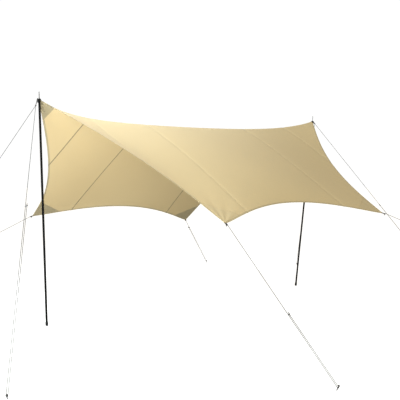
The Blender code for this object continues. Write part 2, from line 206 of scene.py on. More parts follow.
# %% Set the driving dimensions of the sheet
NEAR_TOP = Vector((-2.27, 0, 2.385))
FAR_TOP = Vector((2.26, 0, 2.385))
LOW_CORNERS = {
    "near_front": Vector((-1.32, -1.80, 1.133)),
    "far_front": Vector((1.336, -1.805, 1.137)),
    "near_back": Vector((-1.335, 1.79, 1.056)),
    "far_back": Vector((1.345, 1.775, 0.896)),
}
TOP_CORNERS = {"near_top": NEAR_TOP, "far_top": FAR_TOP}
CORNERS = {**TOP_CORNERS, **LOW_CORNERS}
EDGE_SAG = {
    "near_front": Vector((0.166, 0.016, -0.005)),
    "near_back": Vector((0.227, 0.100, -0.120)),
    "far_front": Vector((-0.209, 0.019, -0.035)),
    "far_back": Vector((-0.223, 0.016, 0.002)),
    "front": Vector((0.0, 0.288, 0.157)),
    "back": Vector((-0.029, -0.303, 0.181)),
}
EDGE_POWER = 1.2
CORNER_SHARE = 0.08
RIDGE_SAG = 0.208
RIDGE_STEEPNESS = (11.7, 5.8)
RIDGE_ROUNDING = 0.09
BULGE = 0.095
END_CROWDING = 0.75
UP = Vector((0, 0, 1))


def edge_arc(start, end, sag, part):
    return start.lerp(end, part) + sag * (4 * part * (1 - part)) ** EDGE_POWER


def ridge_drop(s):
    near, far = RIDGE_STEEPNESS
    return RIDGE_SAG * (1 - math.exp(-near * s)) * (1 - math.exp(-far * (1 - s)))


def sheet_point(s, t):
    """The smooth sheet at s along the ridge (0 to 1) and t across it (-1 front, 1 back)."""
    side = "front" if t < 0 else "back"
    near_low = LOW_CORNERS["near_" + side]
    far_low = LOW_CORNERS["far_" + side]
    rounding = RIDGE_ROUNDING * 4 * s * (1 - s)
    w = (math.hypot(t, rounding) - rounding) / (math.hypot(1, rounding) - rounding)
    ridge = NEAR_TOP.lerp(FAR_TOP, s) - UP * ridge_drop(s)
    low = edge_arc(near_low, far_low, EDGE_SAG[side], s)
    near = edge_arc(NEAR_TOP, near_low, EDGE_SAG["near_" + side], w)
    far = edge_arc(FAR_TOP, far_low, EDGE_SAG["far_" + side], w)
    flat = NEAR_TOP.lerp(FAR_TOP, s).lerp(near_low.lerp(far_low, s), w)
    return ridge.lerp(low, w) + near.lerp(far, s) - flat + UP * BULGE * 16 * w * (1 - w) * s * (1 - s)


print("The ridge spans", round((FAR_TOP - NEAR_TOP).length, 3), "m")

# %% [markdown]
# ## Helpers for pieces
#
# Operators act on what is selected, so each step first selects one piece alone. A grid primitive laid on
# rows of places makes every strip, tube and cloth here, and gets a UV map in real metres, so that a
# weave or a braid follows the piece.


# %% Write the helpers for pieces
def pick(piece):
    """Select one piece alone and make it the active one."""
    bpy.ops.object.select_all(action="DESELECT")
    bpy.context.view_layer.objects.active = piece
    piece.select_set(True)


def edit(piece):
    """Go into edit mode on one piece with all of it selected."""
    pick(piece)
    bpy.ops.object.mode_set(mode="EDIT")
    bpy.ops.mesh.select_all(action="SELECT")


def leave_edit():
    bpy.ops.object.mode_set(mode="OBJECT")


def apply_modifier(piece, kind, **values):
    """Add one modifier, set it and apply it."""
    pick(piece)
    made = piece.modifiers.new(kind.title(), kind)
    for key, value in values.items():
        setattr(made, key, value)
    bpy.ops.object.modifier_apply(modifier=made.name)


def lengths_along(places):
    """The distance from the first place to each place, along them."""
    found = [0.0]
    for before, after in zip(places, places[1:]):
        found.append(found[-1] + (after - before).length)
    return found


def lay_grid(name, rows):
    """A grid primitive laid on rows of places, with a UV map in metres along and across it."""
    bpy.ops.object.select_all(action="DESELECT")
    along, across = len(rows) - 1, len(rows[0]) - 1
    bpy.ops.mesh.primitive_grid_add(x_subdivisions=along, y_subdivisions=across, size=2)
    piece = bpy.context.object
    piece.name = name
    steps_u = lengths_along([row[across // 2] for row in rows])
    steps_v = lengths_along(rows[along // 2])
    cells = []
    for vertex in piece.data.vertices:
        cell = (round((vertex.co.x + 1) / 2 * along), round((vertex.co.y + 1) / 2 * across))
        cells.append(cell)
        vertex.co = rows[cell[0]][cell[1]]
    uv = piece.data.uv_layers[0]
    uv.name = "metres"
    for loop in piece.data.loops:
        i, j = cells[loop.vertex_index]
        uv.data[loop.index].uv = (steps_u[i], steps_v[j])
    return piece


def finish_piece(piece, material, slot, *nodes):
    """Give a piece its finish, its body and the CAD nodes it stands for; the slot it is given is not used.
    """
    pick(piece)
    piece.data.name = piece.name
    piece.data.materials.clear()
    piece.data.materials.append(material)
    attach(piece, "root")
    if nodes:
        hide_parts(*nodes)
    print(piece.name, "has", len(piece.data.polygons), "faces")


def join_pieces(name, pieces):
    """Join separate bodies into one piece with one mesh."""
    pick(pieces[0])
    for piece in pieces:
        piece.select_set(True)
    if len(pieces) > 1:
        bpy.ops.object.join()
    pieces[0].name = name
    return pieces[0]


def shade_smooth(piece, angle=35):
    pick(piece)
    bpy.ops.object.shade_smooth_by_angle(angle=math.radians(angle))


# %% [markdown]
# ## Cloth finish
#
# The sheet is a plain-woven polyester with a thin coating. Light falls on it and also comes through it,
# so its shader mixes a soft, slightly shiny surface with a Translucent one. The weave is two crossing
# waves in the UV map, and slow noise gives the dye its small unevenness. Where the cloth is doubled less
# light comes through, and hems, seams and patches also get a darker colour, which is painted shade, so
# they look darker from below.

# %% Mix the cloth finishes
CLOTH_COLOUR = (0.606, 0.503, 0.306)
THROUGH_COLOUR = (0.760, 0.600, 0.300, 1)
THROUGH_SHARE = 0.30
WEAVE_PITCH = 0.0012


def crossing_waves(tree, coordinates, pitch, turn=0.0):
    """Two wave patterns across each other, as threads lie in a weave or a braid."""
    placed = add_node(tree, "ShaderNodeMapping", Vector=coordinates, Rotation=(0, 0, turn)).outputs[0]
    found = []
    for way in ("X", "Y"):
        wave = add_node(
            tree, "ShaderNodeTexWave", {"bands_direction": way}, Vector=placed,
            Scale=math.tau / (20 * pitch), Distortion=0.0,
        )
        found.append(wave.outputs["Fac"])
    return math_node(tree, "MULTIPLY", *found)


def cloth_material(name, layers, depth=1.0):
    """Coated woven cloth. With more layers, less light comes through. A lower depth is painted shade."""
    made, tree, shader = new_material(name)
    metres = add_node(tree, "ShaderNodeUVMap", {"uv_map": "metres"}).outputs[0]
    weave = crossing_waves(tree, metres, WEAVE_PITCH)
    place = add_node(tree, "ShaderNodeTexCoord").outputs["Object"]
    slow = add_node(tree, "ShaderNodeTexNoise", Vector=place, Scale=1.3, Detail=3.0).outputs["Fac"]
    slub = add_node(tree, "ShaderNodeTexNoise", Vector=metres, Scale=260.0, Detail=2.0).outputs["Fac"]
    # Depth darkens the colour here: painted shade for doubled cloth, over the slow noise of the dye.
    dye_and_painted_shade = blend_colours(tree, slow, shade(CLOTH_COLOUR, 0.96 * depth), shade(CLOTH_COLOUR, 1.04 * depth))
    crossings = math_node(tree, "MULTIPLY", weave, 0.10)
    uneven = math_node(tree, "MULTIPLY", slub, 0.16)
    thread = math_node(tree, "ADD", crossings, uneven)
    colour = blend_colours(tree, thread, dye_and_painted_shade, shade(CLOTH_COLOUR, 0.75 * depth))
    tree.links.new(colour, shader.inputs["Base Color"])
    rough = add_node(tree, "ShaderNodeMapRange", Value=slub, To_Min=0.46, To_Max=0.60).outputs["Result"]
    tree.links.new(rough, shader.inputs["Roughness"])
    shader.inputs["Specular IOR Level"].default_value = 0.35
    shader.inputs["Sheen Weight"].default_value = 0.12
    shader.inputs["Sheen Roughness"].default_value = 0.45
    relief = math_node(tree, "ADD", weave, slub)
    bump = add_node(tree, "ShaderNodeBump", Height=relief, Strength=0.25, Distance=0.0002).outputs["Normal"]
    tree.links.new(bump, shader.inputs["Normal"])
    through = add_node(tree, "ShaderNodeBsdfTranslucent", Color=shade(THROUGH_COLOUR, 1.0 / layers))
    tree.links.new(bump, through.inputs["Normal"])
    mixed = add_node(tree, "ShaderNodeMixShader", Fac=THROUGH_SHARE)
    tree.links.new(shader.outputs[0], mixed.inputs[1])
    tree.links.new(through.outputs[0], mixed.inputs[2])
    tree.links.new(mixed.outputs[0], tree.nodes["Material Output"].inputs["Surface"])
    return made


canopy_cloth = cloth_material("tan_cloth", 1.0)
# The last number darkens the colour: painted shade where the cloth is doubled or tripled.
hem_cloth = cloth_material("tan_cloth_hem", 2.2, 0.86)
patch_cloth = cloth_material("tan_cloth_patch", 2.2, 0.77)
seam_cloth = cloth_material("tan_cloth_seam", 3.0, 0.50)
print("Cloth finishes:", canopy_cloth.name, hem_cloth.name, patch_cloth.name, seam_cloth.name)

# %% [markdown]
# ## The canopy
#
# A fine grid is laid on the sheet's shape. Cuts along the four seams give it points there, so that the
# cloth can dip at each seam, where the sewing draws it in. Shallow folds spread from the low corners,
# where the pull of a guy line gathers the cloth, and each corner is raised a little where the end of a
# strap is tucked under it. Then the sharp tips are cut off, as a hem blunts them.

# %% Say how the cloth departs from its smooth shape
SEAMS = (-1.655, -0.85, 0.80, 1.61)
SEAM_DIP = 0.0022
SEAM_REACH = 0.022
SEAM_CUTS = (-2.4, -1.4, -0.7, 0.0, 0.7, 1.4, 2.4)
FOLD_HEIGHT = 0.0012
FOLD_REACH = 0.16
FOLDS = 14
TRIM = {"top": 0.024, "low": 0.010}
WEBBING_WIDTH = 0.024
POCKET_RISE = 0.0024
POCKET_SLOPE = 0.010
TUCKED = {"top": 0.050, "low": 0.036}


def level(corner):
    """Whether a corner is one of the two top ones or a low one."""
    return "top" if corner in TOP_CORNERS else "low"


def inward(corner):
    """The direction from a corner into the sheet, halfway between its two edges."""
    if corner in TOP_CORNERS:
        return Vector((1 if corner == "near_top" else -1, 0, 0))
    end, side = corner.split("_")
    here = LOW_CORNERS[corner]
    other = LOW_CORNERS[("far_" if end == "near" else "near_") + side]
    up_edge = edge_arc(here, TOP_CORNERS[end + "_top"], EDGE_SAG[corner], CORNER_SHARE) - here
    low_edge = edge_arc(here, other, EDGE_SAG[side], CORNER_SHARE) - here
    return (up_edge.normalized() + low_edge.normalized()).normalized()


def fall_off(distance, limit):
    """One up to a limit, then smoothly down to nothing."""
    part = min(max((distance - limit) / POCKET_SLOPE, 0), 1)
    return (1 + math.cos(math.pi * part)) / 2


def pocket(place, corner):
    """How full the pocket between cloth and patch is, where a strap's end is tucked in: 0 to 1."""
    reach = place - CORNERS[corner]
    along = reach.dot(inward(corner))
    aside = (reach - inward(corner) * along).length
    return fall_off(along, TUCKED[level(corner)]) * fall_off(aside, WEBBING_WIDTH / 2 + 0.001)


def cloth_relief(place, normal):
    """How far the cloth stands out of its smooth shape at a place."""
    height = POCKET_RISE * sum(pocket(place, corner) for corner in CORNERS)
    for seam in SEAMS:
        height -= SEAM_DIP * math.exp(-(((place.x - seam) / SEAM_REACH) ** 2))
    for corner, here in LOW_CORNERS.items():
        reach = place - here
        along = inward(corner)
        angle = math.atan2(reach.dot(normal.cross(along)), reach.dot(along))
        far = reach.length / FOLD_REACH
        height += FOLD_HEIGHT * far * math.exp(1 - far) * math.cos(FOLDS * angle)
    return height


print("Seams at", SEAMS, "m along the ridge")

# %% Lay the cloth
CELLS_ALONG = 150
CELLS_ACROSS = 120
CLOTH_THICKNESS = 0.0006


def crowd(part):
    """Bring the grid's lines closer together toward both ends."""
    return part - END_CROWDING * math.sin(math.tau * part) / math.tau


def bisect(piece, place, normal, inner=False, outer=False, fill=False):
    edit(piece)
    bpy.ops.mesh.bisect(
        plane_co=place, plane_no=normal, clear_inner=inner, clear_outer=outer, use_fill=fill, threshold=1e-6
    )
    leave_edit()


def blunt_tips(piece, more=0.0):
    """Cut off the sharp tips of a piece that follows the sheet, and more of them for a hem."""
    for corner, here in CORNERS.items():
        bisect(piece, here + inward(corner) * (more + TRIM[level(corner)]), inward(corner), inner=True)


half_steps = [crowd(2 * step / CELLS_ACROSS) for step in range(CELLS_ACROSS // 2 + 1)]
across_steps = [-step for step in half_steps[:0:-1]] + half_steps
along_steps = [crowd(step / CELLS_ALONG) for step in range(CELLS_ALONG + 1)]
canopy = lay_grid("canopy_sheet", [[sheet_point(s, t) for t in across_steps] for s in along_steps])
for seam in SEAMS:
    for offset in SEAM_CUTS:
        bisect(canopy, (seam + offset * SEAM_REACH, 0, 0), (1, 0, 0))
normals = [vertex.normal.copy() for vertex in canopy.data.vertices]
for vertex, normal in zip(canopy.data.vertices, normals):
    vertex.co += normal * cloth_relief(vertex.co, normal)
blunt_tips(canopy)
surface = BVHTree.FromObject(canopy, bpy.context.evaluated_depsgraph_get())
cloth_area = sum(face.area for face in canopy.data.polygons)
ridge_length = lengths_along([sheet_point(s, 0) for s in along_steps])[-1]
print("The cloth has", round(cloth_area, 2), "square metres and a ridge of", round(ridge_length, 2), "m")


# %% [markdown]
# Everything that is sewn on follows the cloth, so two helpers find it: one looks straight down at a
# place on the plan, the other goes to the nearest place on the cloth. Both go on to a height over it.


# %% Write the helpers that find the cloth
def below(x, y, height=0.0):
    """The cloth under a place on the plan, at a height square to it, or None beside the cloth."""
    hit, normal, _, _ = surface.ray_cast(Vector((x, y, 4)), -UP)
    return hit and hit + normal * height


def drape(place, height):
    """The cloth's nearest place, at a height square to it."""
    hit, normal, _, _ = surface.find_nearest(place)
    return hit + normal * height


def slope(s, t):
    """The directions along the ridge and across it on the smooth sheet, and square to it."""
    step = 0.002
    along = sheet_point(min(s + step, 1), t) - sheet_point(max(s - step, 0), t)
    across = sheet_point(s, min(t + step, 1)) - sheet_point(s, max(t - step, -1))
    return along.normalized(), across.normalized(), along.cross(across).normalized()


print("The ridge is", round(below(0, 0).z, 3), "m high at its middle")

# %% [markdown]
# ## Corner patches
#
# Each corner is doubled by a second layer of the same cloth under it. The quickest true patch is a copy
# of the cloth itself, cut off by a plane, moved under the cloth and thickened. Where a strap's end lies
# between the two layers the patch is moved down further, so that it passes under the strap.

# %% Copy the patches off the cloth
PATCH_THICKNESS = 0.0005
PATCH_DROP = 0.00095
PATCH_REACH = {"top": 0.19, "low": 0.33 * math.cos(math.radians(30))}


def copy_patch(corner):
    """One patch, cut from a copy of the cloth."""
    pick(canopy)
    bpy.ops.object.duplicate()
    piece = bpy.context.object
    piece.name = "corner_patch_" + corner
    bisect(piece, CORNERS[corner] + inward(corner) * PATCH_REACH[level(corner)], inward(corner), outer=True)
    normals = [vertex.normal.copy() for vertex in piece.data.vertices]
    for vertex, normal in zip(piece.data.vertices, normals):
        vertex.co -= normal * (PATCH_DROP + 2 * POCKET_RISE * pocket(vertex.co, corner))
    return piece


patches = {corner: copy_patch(corner) for corner in CORNERS}
for corner, piece in patches.items():
    apply_modifier(piece, "SOLIDIFY", thickness=PATCH_THICKNESS, offset=0)
    shade_smooth(piece)
    finish_piece(piece, patch_cloth, "patch_fabric", "patch_" + corner)

# %% [markdown]
# ## Hems
#
# The edge of the cloth is folded twice and sewn down. A hem is a strip that starts just outside the edge
# and goes inward over its width. It wraps the cloth's edge, so it is thicker, and it stops short of each
# corner, where the strap is sewn in.

# %% Fold the hems
HEM_WIDTH = 0.020
HEM_THICKNESS = 0.0013
HEM_OUT = 0.0012
HEM_STEP = 0.018
HEM_END = 0.022
HEM_PARTS = (0.1, 0.4, 0.7, 1.0)


def edge_places(edge, samples):
    """Places on one edge of the sheet, each with its inward direction and its normal."""
    found = []
    for step in range(samples + 1):
        part = step / samples
        if edge in ("front", "back"):
            s, t = crowd(part), -1 if edge == "front" else 1
        else:
            end, side = edge.split("_")
            s, t = (0 if end == "near" else 1), (-part if side == "front" else part)
        along, across, normal = slope(s, t)
        tangent, other = (along, across) if edge in ("front", "back") else (across, along)
        into = (other - tangent * other.dot(tangent)).normalized()
        if edge in ("back", "far_front", "far_back"):
            into = -into
        place = sheet_point(s, t)
        found.append((place + normal * cloth_relief(place, normal), into))
    return found


def fold_hem(edge):
    """One hem, from corner to corner."""
    length = lengths_along([place for place, _ in edge_places(edge, 24)])[-1]
    rows = []
    for place, into in edge_places(edge, round(length / HEM_STEP)):
        row = [place - into * HEM_OUT]
        row += [drape(place + into * HEM_WIDTH * part, 0) for part in HEM_PARTS]
        rows.append(row)
    piece = lay_grid("hem_" + edge, rows)
    blunt_tips(piece, HEM_END)
    apply_modifier(piece, "SOLIDIFY", thickness=HEM_THICKNESS, offset=0)
    shade_smooth(piece)
    return piece


hems = [fold_hem(edge) for edge in EDGE_SAG]
hem_strip = join_pieces("hems", hems)
finish_piece(hem_strip, hem_cloth, "patch_fabric")

# %% [markdown]
# ## Seams
#
# The sheet is made of widths of cloth that run across the ridge. Where two widths meet they are folded
# into each other and sewn twice. Each seam is a narrow strip that follows the cloth from edge to edge.

# %% Sew the widths together
SEAM_WIDTH = 0.013
SEAM_THICKNESS = 0.0009
SEAM_DROP = 0.0006
SEAM_STEP = 0.016
SEAM_PARTS = (-0.5, -0.25, 0.25, 0.5)
HALVINGS = 18


def seam_ends(x):
    """Where a seam meets the sheet's two edges."""
    ends = []
    for way in (-1, 1):
        inside, outside = 0.0, 2.0 * way
        for _ in range(HALVINGS):
            middle = (inside + outside) / 2
            if below(x, middle):
                inside = middle
            else:
                outside = middle
        ends.append(inside)
    return ends


def seam_line(x, offset, height):
    """Places along a seam, offset sideways, at a height over the cloth."""
    front, back = seam_ends(x)
    samples = round((back - front) * 1.25 / SEAM_STEP)
    found = []
    for step in range(samples + 1):
        y = front + (back - front) * step / samples
        found.append(drape(Vector((x + offset, y, below(x, y).z)), height))
    return found


def sew_seam(x):
    """One folded seam."""
    lines = [seam_line(x, SEAM_WIDTH * part, -SEAM_DROP) for part in SEAM_PARTS]
    piece = lay_grid("seam", list(zip(*lines)))
    apply_modifier(piece, "SOLIDIFY", thickness=SEAM_THICKNESS, offset=0)
    shade_smooth(piece)
    return piece


seam_strip = join_pieces("seams", [sew_seam(x) for x in SEAMS])
finish_piece(seam_strip, seam_cloth, "canopy_fabric")

# %% [markdown]
# The cloth gets its thickness last, because the patches, hems and seams were made from its middle.

# %% Thicken the cloth
apply_modifier(canopy, "SOLIDIFY", thickness=CLOTH_THICKNESS, offset=0)
shade_smooth(canopy)
finish_piece(canopy, canopy_cloth, "canopy_fabric", "canopy")

# %% [markdown]
# ## Finishes for thread, webbing, cord and metal
#
# Each small material has its own texture at its own scale: ribs across the webbing, crossing strands on
# the cord, fine scratches on the steel, and a slight orange peel in the paint.


# %% Mix the small finishes
def plain_material(
    name, colour, roughness, metallic, scale, bump, stretch=(1, 1, 1), spread=0.2, specular=0.5
):
    """A surface with noise in its colour, its roughness and its relief."""
    made, tree, shader = new_material(name)
    place = add_node(tree, "ShaderNodeTexCoord").outputs["Object"]
    placed = add_node(tree, "ShaderNodeMapping", Vector=place, Scale=stretch).outputs[0]
    grain = add_node(tree, "ShaderNodeTexNoise", Vector=placed, Scale=scale, Detail=4.0).outputs["Fac"]
    tone = blend_colours(tree, grain, shade(colour, 1 - spread), shade(colour, 1 + spread))
    tree.links.new(tone, shader.inputs["Base Color"])
    rough = add_node(
        tree, "ShaderNodeMapRange", Value=grain, To_Min=roughness - 0.08, To_Max=roughness + 0.08
    ).outputs["Result"]
    tree.links.new(rough, shader.inputs["Roughness"])
    shader.inputs["Metallic"].default_value = metallic
    shader.inputs["Specular IOR Level"].default_value = specular
    relief = add_node(tree, "ShaderNodeBump", Height=grain, Strength=0.5, Distance=bump).outputs["Normal"]
    tree.links.new(relief, shader.inputs["Normal"])
    return made


def woven_material(name, dark, light, pitch, turn, roughness, specular):
    """Strands that cross, in the piece's own UV map."""
    made, tree, shader = new_material(name)
    metres = add_node(tree, "ShaderNodeUVMap", {"uv_map": "metres"}).outputs[0]
    strands = crossing_waves(tree, metres, pitch, turn)
    fibre = add_node(tree, "ShaderNodeTexNoise", Vector=metres, Scale=900.0, Detail=2.0).outputs["Fac"]
    tone = blend_colours(tree, math_node(tree, "MULTIPLY", strands, fibre), dark, light)
    tree.links.new(tone, shader.inputs["Base Color"])
    shader.inputs["Roughness"].default_value = roughness
    shader.inputs["Sheen Weight"].default_value = 0.05
    shader.inputs["Specular IOR Level"].default_value = specular
    relief = math_node(tree, "ADD", strands, math_node(tree, "MULTIPLY", fibre, 0.3))
    bump = add_node(tree, "ShaderNodeBump", Height=relief, Strength=0.8, Distance=0.0004).outputs["Normal"]
    tree.links.new(bump, shader.inputs["Normal"])
    return made


BLACK = (0.0012, 0.0012, 0.0013)
tan_thread = plain_material("tan_thread", (0.42, 0.32, 0.17), 0.7, 0, 900, 0.0001)
dark_thread = plain_material("dark_thread", (0.05, 0.05, 0.052), 0.6, 0, 900, 0.0001)
webbing = woven_material(
    "black_webbing_weave", (0.001, 0.001, 0.001, 1), (0.006, 0.006, 0.0065, 1), 0.0018, 0.0, 0.85, 0.08
)
cord_braid = woven_material(
    "grey_cord_braid", (0.030, 0.030, 0.029, 1), (0.100, 0.100, 0.097, 1),
    0.0016, math.radians(45), 0.8, 0.2,
)
pole_paint = plain_material("black_pole_paint", BLACK, 0.46, 0, 700, 0.00006, specular=0.05)
foot_rubber = plain_material("black_foot_rubber", (0.008, 0.008, 0.008), 0.85, 0, 500, 0.0002, specular=0.1)
grey_steel = plain_material("grey_steel", (0.10, 0.10, 0.104), 0.32, 1, 300, 0.00005, (8, 8, 1))
peg_steel = plain_material("black_forged_steel", (0.035, 0.034, 0.034), 0.45, 0.7, 260, 0.0002, spread=0.4)
dark_metal = plain_material("gunmetal", (0.03, 0.03, 0.032), 0.40, 1, 600, 0.00004)
satin_alloy = plain_material("satin_grey_alloy", (0.20, 0.20, 0.205), 0.38, 1, 900, 0.00004)
print("Small finishes are mixed")

# %% [markdown]
# ## Stitching
#
# A row of stitches is one small lozenge of thread repeated along a line. Geometry Nodes do that well:
# the line is resampled at the stitch length and the lozenge is set on each point, turned along the
# line. The lozenge has only eight faces, because there are thousands of them.

# %% Set up the stitching nodes
STITCH_PITCH = 0.0052
STITCH_LENGTH = 0.0040
STITCH_WIDTH = 0.0009

bpy.ops.object.select_all(action="DESELECT")
bpy.ops.mesh.primitive_uv_sphere_add(segments=4, ring_count=2, radius=0.5)
stitch = bpy.context.object
stitch.name = "one_stitch"
stitch.scale = (STITCH_LENGTH, STITCH_WIDTH, STITCH_WIDTH)
bpy.ops.object.transform_apply(scale=True)
stitch.hide_render = True


def stitching_nodes(thread):
    """A node group that sets the one stitch along every line of a mesh."""
    group = bpy.data.node_groups.new("stitch_rows", "GeometryNodeTree")
    group.interface.new_socket("Geometry", in_out="INPUT", socket_type="NodeSocketGeometry")
    group.interface.new_socket("Geometry", in_out="OUTPUT", socket_type="NodeSocketGeometry")
    lines = add_node(group, "NodeGroupInput").outputs[0]
    curves = add_node(group, "GeometryNodeMeshToCurve", Mesh=lines).outputs[0]
    spaced = add_node(
        group, "GeometryNodeResampleCurve", {"mode": "LENGTH"}, Curve=curves, Length=STITCH_PITCH
    ).outputs[0]
    tangent = add_node(group, "GeometryNodeInputTangent").outputs[0]
    turned = add_node(
        group, "FunctionNodeAlignRotationToVector", {"axis": "X"}, Vector=tangent
    ).outputs[0]
    thing = add_node(group, "GeometryNodeObjectInfo", Object=stitch).outputs["Geometry"]
    placed = add_node(
        group, "GeometryNodeInstanceOnPoints", Points=spaced, Instance=thing, Rotation=turned
    ).outputs[0]
    real = add_node(group, "GeometryNodeRealizeInstances", Geometry=placed).outputs[0]
    finished = add_node(group, "GeometryNodeSetMaterial", Geometry=real, Material=thread).outputs[0]
    add_node(group, "NodeGroupOutput", Geometry=finished)
    return group


tan_stitching = stitching_nodes(tan_thread)
dark_stitching = stitching_nodes(dark_thread)


def sew(name, lines, group, thread, slot):
    """Set stitches along lines of places, as one piece."""
    mesh = bpy.data.meshes.new(name)
    places, edges = [], []
    for line in lines:
        first = len(places)
        places += [tuple(place) for place in line]
        edges += [(first + step, first + step + 1) for step in range(len(line) - 1)]
    mesh.from_pydata(places, edges, [])
    piece = bpy.data.objects.new(name, mesh)
    bpy.context.scene.collection.objects.link(piece)
    apply_modifier(piece, "NODES", node_group=group)
    finish_piece(piece, thread, slot)
    return piece


print("A stitch has", len(stitch.data.polygons), "faces")

# %% Sew the hems, the seams and the patches
HEM_ROWS = (0.0045, 0.0165)
SEAM_ROWS = (-0.0045, 0.0045)
PATCH_ROWS = (0.004, 0.010)
THREAD_OVER = 0.0001
CLOTH_TOP = CLOTH_THICKNESS / 2 + THREAD_OVER
HEM_FACE = HEM_THICKNESS / 2 + THREAD_OVER
SEAM_UNDER = SEAM_DROP + SEAM_THICKNESS / 2 + THREAD_OVER
PATCH_UNDER = PATCH_DROP + PATCH_THICKNESS / 2 + THREAD_OVER
HEM_SAMPLES = 130
PATCH_EDGE_STEP = 0.006
PATCH_EDGE_STEPS = 60


def both_sides(line, top, bottom):
    """A line of places twice: over the cloth and under it."""
    return [[drape(place, top) for place in line], [drape(place, -bottom) for place in line]]


hem_lines = []
for edge in EDGE_SAG:
    for row in HEM_ROWS:
        line = [place + into * row for place, into in edge_places(edge, HEM_SAMPLES)][2:-2]
        hem_lines += both_sides(line, HEM_FACE, HEM_FACE)
hem_stitches = sew("hem_stitching", hem_lines, tan_stitching, tan_thread, "canopy_fabric")

seam_lines = []
for x in SEAMS:
    for row in SEAM_ROWS:
        seam_lines += both_sides(seam_line(x, row, 0)[1:-1], CLOTH_TOP, SEAM_UNDER)
seam_stitches = sew("seam_stitching", seam_lines, tan_stitching, tan_thread, "canopy_fabric")


def patch_edge(corner):
    """The line where a patch ends inside the sheet, from one edge of the cloth to the other."""
    into, reach = inward(corner), PATCH_REACH[level(corner)]
    base = CORNERS[corner] + into * reach
    sideways = into.cross(UP).normalized()
    found = []
    for step in range(-PATCH_EDGE_STEPS, PATCH_EDGE_STEPS + 1):
        guess = base + sideways * step * PATCH_EDGE_STEP
        for _ in range(6):
            hit = surface.find_nearest(guess)[0]
            guess = hit + into * (reach - (hit - CORNERS[corner]).dot(into))
        if (guess - hit).length < 0.001:
            found.append(guess)
    return found


patch_lines = []
for corner in CORNERS:
    edge_line = patch_edge(corner)
    for row in PATCH_ROWS:
        line = [place - inward(corner) * row for place in edge_line]
        patch_lines += both_sides(line, CLOTH_TOP, PATCH_UNDER)
patch_stitches = sew("patch_stitching", patch_lines, tan_stitching, tan_thread, "patch_fabric")

# %% [markdown]
# ## Ways to follow a line
#
# Straps and cords both follow a path. The path is rounded where it bends, because neither webbing nor
# cord can turn a sharp corner. A strip puts a row of places across the path at each step, and a tube
# puts a ring of places round it.


# %% Write the helpers for paths, tubes and turned pieces
def round_bends(places, reach=0.003, steps=4):
    """A path with each bend replaced by a short curve."""
    found = [places[0]]
    for before, here, after in zip(places, places[1:], places[2:]):
        back = min(reach, (here - before).length / 2)
        forth = min(reach, (after - here).length / 2)
        start = here + (before - here).normalized() * back
        end = here + (after - here).normalized() * forth
        for step in range(steps + 1):
            part = step / steps
            found.append(start.lerp(here, part).lerp(here.lerp(end, part), part))
    return found + [places[-1]]


def rings_round(places, radius, sides):
    """Rings of places round a path, turned as little as possible from one to the next."""
    rings = []
    side = None
    for index, here in enumerate(places):
        before, after = places[max(index - 1, 0)], places[min(index + 1, len(places) - 1)]
        along = (after - before).normalized()
        side = along.orthogonal() if side is None else side
        side = (side - along * side.dot(along)).normalized()
        other = along.cross(side)
        angles = [math.tau * step / sides for step in range(sides + 1)]
        rings.append([here + (side * math.cos(a) + other * math.sin(a)) * radius for a in angles])
    return rings


def close_shell(piece):
    """Merge doubled points, close the ends and turn all faces outward."""
    edit(piece)
    bpy.ops.mesh.remove_doubles(threshold=1e-6)
    bpy.ops.mesh.fill_holes(sides=0)
    bpy.ops.mesh.normals_make_consistent(inside=False)
    leave_edit()
    return piece


def lay_tube(name, places, radius, sides=10):
    """A closed tube along a path."""
    piece = close_shell(lay_grid(name, rings_round(places, radius, sides)))
    shade_smooth(piece, 60)
    return piece


def spin_profile(name, profile, steps=32, closed=False):
    """A piece turned on a lathe: a line of (radius, height) pairs spun round the Z axis."""
    bpy.ops.object.select_all(action="DESELECT")
    bpy.ops.mesh.primitive_circle_add(vertices=3, radius=1, fill_type="NOTHING")
    piece = bpy.context.object
    piece.name = name
    edit(piece)
    bpy.ops.mesh.delete(type="VERT")
    leave_edit()
    places = [(radius, 0, height) for radius, height in profile]
    edges = [(step, step + 1) for step in range(len(profile) - 1)]
    if closed:
        edges.append((len(profile) - 1, 0))
    piece.data.from_pydata(places, edges, [])
    edit(piece)
    bpy.ops.mesh.spin(steps=steps, angle=math.tau, center=(0, 0, 0), axis=(0, 0, 1))
    bpy.ops.mesh.select_all(action="SELECT")
    bpy.ops.mesh.remove_doubles(threshold=1e-6)
    bpy.ops.mesh.normals_make_consistent(inside=False)
    leave_edit()
    shade_smooth(piece, 35)
    return piece


def settle(piece, placing):
    """Put a piece in its place, and move that place from its object into its mesh."""
    pick(piece)
    piece.matrix_world = placing
    bpy.ops.object.transform_apply(location=True, rotation=True, scale=True)
    return piece


def frame_at(place, z_way, x_way=None):
    """The transform that puts a piece modelled at the origin in its place."""
    z_way = z_way.normalized()
    x_way = (x_way or z_way.orthogonal()).normalized()
    x_way = (x_way - z_way * x_way.dot(z_way)).normalized()
    turn = Matrix((x_way, z_way.cross(x_way), z_way)).transposed().to_4x4()
    return Matrix.Translation(place) @ turn


def copy_to(model, name, placing):
    """A copy of a piece, with its own mesh, put in its place."""
    pick(model)
    bpy.ops.object.duplicate()
    piece = bpy.context.object
    piece.name = name
    return settle(piece, placing)


def put_away(piece):
    """Keep a model out of the picture and out of the part: only its copies count."""
    bpy.data.objects.remove(piece, do_unlink=True)


def bore_hole(piece, place, direction, radius, depth):
    """Cut a round hole through a piece."""
    bpy.ops.object.select_all(action="DESELECT")
    bpy.ops.mesh.primitive_cylinder_add(vertices=28, radius=radius, depth=depth)
    drill = bpy.context.object
    drill.matrix_world = frame_at(place, direction)
    bpy.context.view_layer.update()
    apply_modifier(piece, "BOOLEAN", operation="DIFFERENCE", solver="EXACT", object=drill)
    put_away(drill)


print("Path helpers are ready")

# %% [markdown]
# ## Corner straps
#
# Each corner is held by a length of webbing, folded in half. Its two ends are tucked in between the
# cloth and its patch, and the two layers run out together and end in the fold. The low straps carry an
# eyelet for a guy line. The top straps go over a pole's spike and hang down a little outside it.

